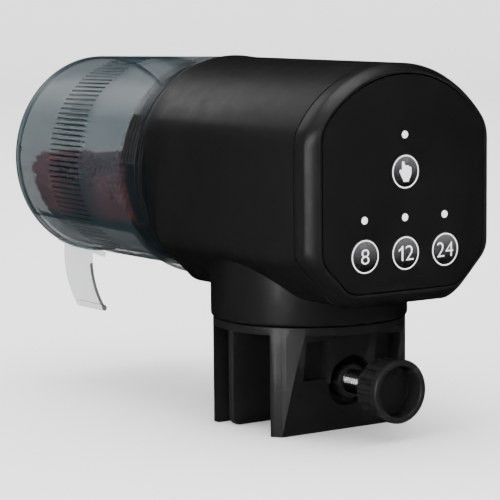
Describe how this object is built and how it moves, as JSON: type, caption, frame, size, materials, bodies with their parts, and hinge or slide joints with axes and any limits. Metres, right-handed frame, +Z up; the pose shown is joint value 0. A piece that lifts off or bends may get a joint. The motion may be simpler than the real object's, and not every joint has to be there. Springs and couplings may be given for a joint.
{
  "type": "automatic fish feeder",
  "caption": "Small black motor housing that swivels on a rim clamp and turns a clear ribbed food drum with an adjustable outlet and chute, with a panel of timer buttons.",
  "frame": {"origin": "on the swivel axis, on the underside of the clamp's round base, which rests on the top of a tank's rim", "axes": "+Z up along the swivel axis; +Y along the drum's axis, from the control panel towards the drum's closed end; +X to the right of a person facing the control panel"},
  "size_m": [0.0678, 0.1613, 0.1053],
  "materials": {
    "housing_black": "satin moulded plastic with a fine spark-eroded grain",
    "panel_black": "smooth matt control panel",
    "button_black": "dark button cap with a printed white ring and symbol",
    "clamp_black": "satin moulded plastic",
    "knob_black": "satin moulded plastic with a fluted grip",
    "tray_black": "plain moulded plastic",
    "lid_black": "satin moulded plastic",
    "lock_black": "satin moulded plastic with ridges",
    "light_white": "milky diffusing light pipe",
    "switch_grey": "plain moulded plastic",
    "gear_white": "plain white acetal",
    "board_green": "coated circuit board",
    "cell_wrap": "plain printed battery sleeve",
    "smoke_clear": "smoky translucent moulded plastic, ribbed round the middle",
    "chute_clear": "thin clear plastic",
    "seal_rubber": "soft black rubber",
    "steel": "bright turned steel",
    "contact_nickel": "nickel-plated spring steel",
    "motor_steel": "drawn steel can",
    "brass": "plain turned brass"
  },
  "bodies": {
    "clamp": {"clamp_base": "clamp_black", "swivel_spring_washer": "steel", "swivel_washer": "steel", "swivel_screw": "steel"},
    "plate": {"pressure_plate": "clamp_black"},
    "screw": {"clamp_screw": "steel", "screw_knob": "knob_black"},
    "housing": {"housing_shell": "housing_black", "front_bezel": "housing_black", "control_panel": "panel_black", "circuit_board": "board_green", "feed_light": "light_white", "interval_light_8": "light_white", "interval_light_12": "light_white", "interval_light_24": "light_white", "feed_switch": "switch_grey", "interval_switch_8": "switch_grey", "interval_switch_12": "switch_grey", "interval_switch_24": "switch_grey", "bezel_screw_1": "steel", "bezel_screw_2": "steel", "bezel_screw_3": "steel", "bezel_screw_4": "steel", "board_screw_1": "steel", "board_screw_2": "steel", "battery_tray": "tray_black", "contact_plate_front": "contact_nickel", "contact_plate_rear": "contact_nickel", "battery_cell_1": "cell_wrap", "battery_cell_2": "cell_wrap", "contact_spring_1": "contact_nickel", "contact_spring_2": "contact_nickel", "gear_motor": "motor_steel", "motor_bracket": "switch_grey", "idler_pin": "steel", "rear_bulkhead": "tray_black", "shaft_bush": "gear_white", "bulkhead_screw_1": "steel", "bulkhead_screw_2": "steel", "bulkhead_screw_3": "steel", "bracket_screw_1": "steel", "bracket_screw_2": "steel"},
    "feed_button": {"manual_feed_button": "button_black"},
    "button_8": {"interval_button_8": "button_black"},
    "button_12": {"interval_button_12": "button_black"},
    "button_24": {"interval_button_24": "button_black"},
    "door": {"battery_door": "housing_black"},
    "pinion": {"motor_pinion": "brass"},
    "idler": {"idler_gear": "gear_white"},
    "drive": {"output_gear": "gear_white", "drive_shaft": "steel", "drive_dog": "switch_grey", "drum_lid": "lid_black", "lid_seal": "seal_rubber"},
    "drum": {"food_drum": "smoke_clear", "lock_tab": "lock_black"},
    "outlet": {"outlet_slider": "smoke_clear", "chute_blade": "chute_clear"}
  },
  "joints": [
    {"name": "swivel", "type": "hinge", "parent": "clamp", "child": "housing", "pos_m": [0, 0, 0], "axis": [0, 0, 1], "continuous": true},
    {"name": "plate_slide", "type": "slide", "parent": "clamp", "child": "plate", "axis": [0, 1, 0], "range_m": [-0.0165, 0.0035]},
    {"name": "screw_turn", "type": "hinge", "parent": "plate", "child": "screw", "pos_m": [0, 0, -0.0145], "axis": [0, 1, 0], "range_deg": [-2975, 635]},
    {"name": "feed_press", "type": "slide", "parent": "housing", "child": "feed_button", "axis": [0, 1, 0], "range_m": [0, 0.00035], "stiffness_N_per_m": 800},
    {"name": "press_8", "type": "slide", "parent": "housing", "child": "button_8", "axis": [0, 1, 0], "range_m": [0, 0.00035], "stiffness_N_per_m": 800},
    {"name": "press_12", "type": "slide", "parent": "housing", "child": "button_12", "axis": [0, 1, 0], "range_m": [0, 0.00035], "stiffness_N_per_m": 800},
    {"name": "press_24", "type": "slide", "parent": "housing", "child": "button_24", "axis": [0, 1, 0], "range_m": [0, 0.00035], "stiffness_N_per_m": 800},
    {"name": "door_pull", "type": "slide", "parent": "housing", "child": "door", "axis": [1, 0, 0], "range_m": [0, 0.012]},
    {"name": "drum_turn", "type": "hinge", "parent": "housing", "child": "drive", "pos_m": [0, 0.035, 0.0425], "axis": [0, 1, 0], "continuous": true},
    {"name": "idler_spin", "type": "hinge", "parent": "housing", "child": "idler", "pos_m": [0, 0.028, 0.0586], "axis": [0, 1, 0], "continuous": true},
    {"name": "pinion_spin", "type": "hinge", "parent": "housing", "child": "pinion", "pos_m": [-0.012, 0.0227, 0.0586], "axis": [0, 1, 0], "continuous": true},
    {"name": "drum_twist", "type": "hinge", "parent": "drive", "child": "drum", "pos_m": [0, 0.045, 0.0425], "axis": [0, 1, 0], "range_deg": [0, 20]},
    {"name": "outlet_slide", "type": "hinge", "parent": "drum", "child": "outlet", "pos_m": [0, 0.083, 0.0425], "axis": [0, 1, 0], "range_deg": [-30, 0]}
  ],
  "couplings": [
    {"joint": "screw_turn", "follows": "plate_slide", "rad_per_m": 3141.6},
    {"joint": "idler_spin", "follows": "drum_turn", "ratio": -3.6},
    {"joint": "pinion_spin", "follows": "drum_turn", "ratio": 10.8}
  ]
}
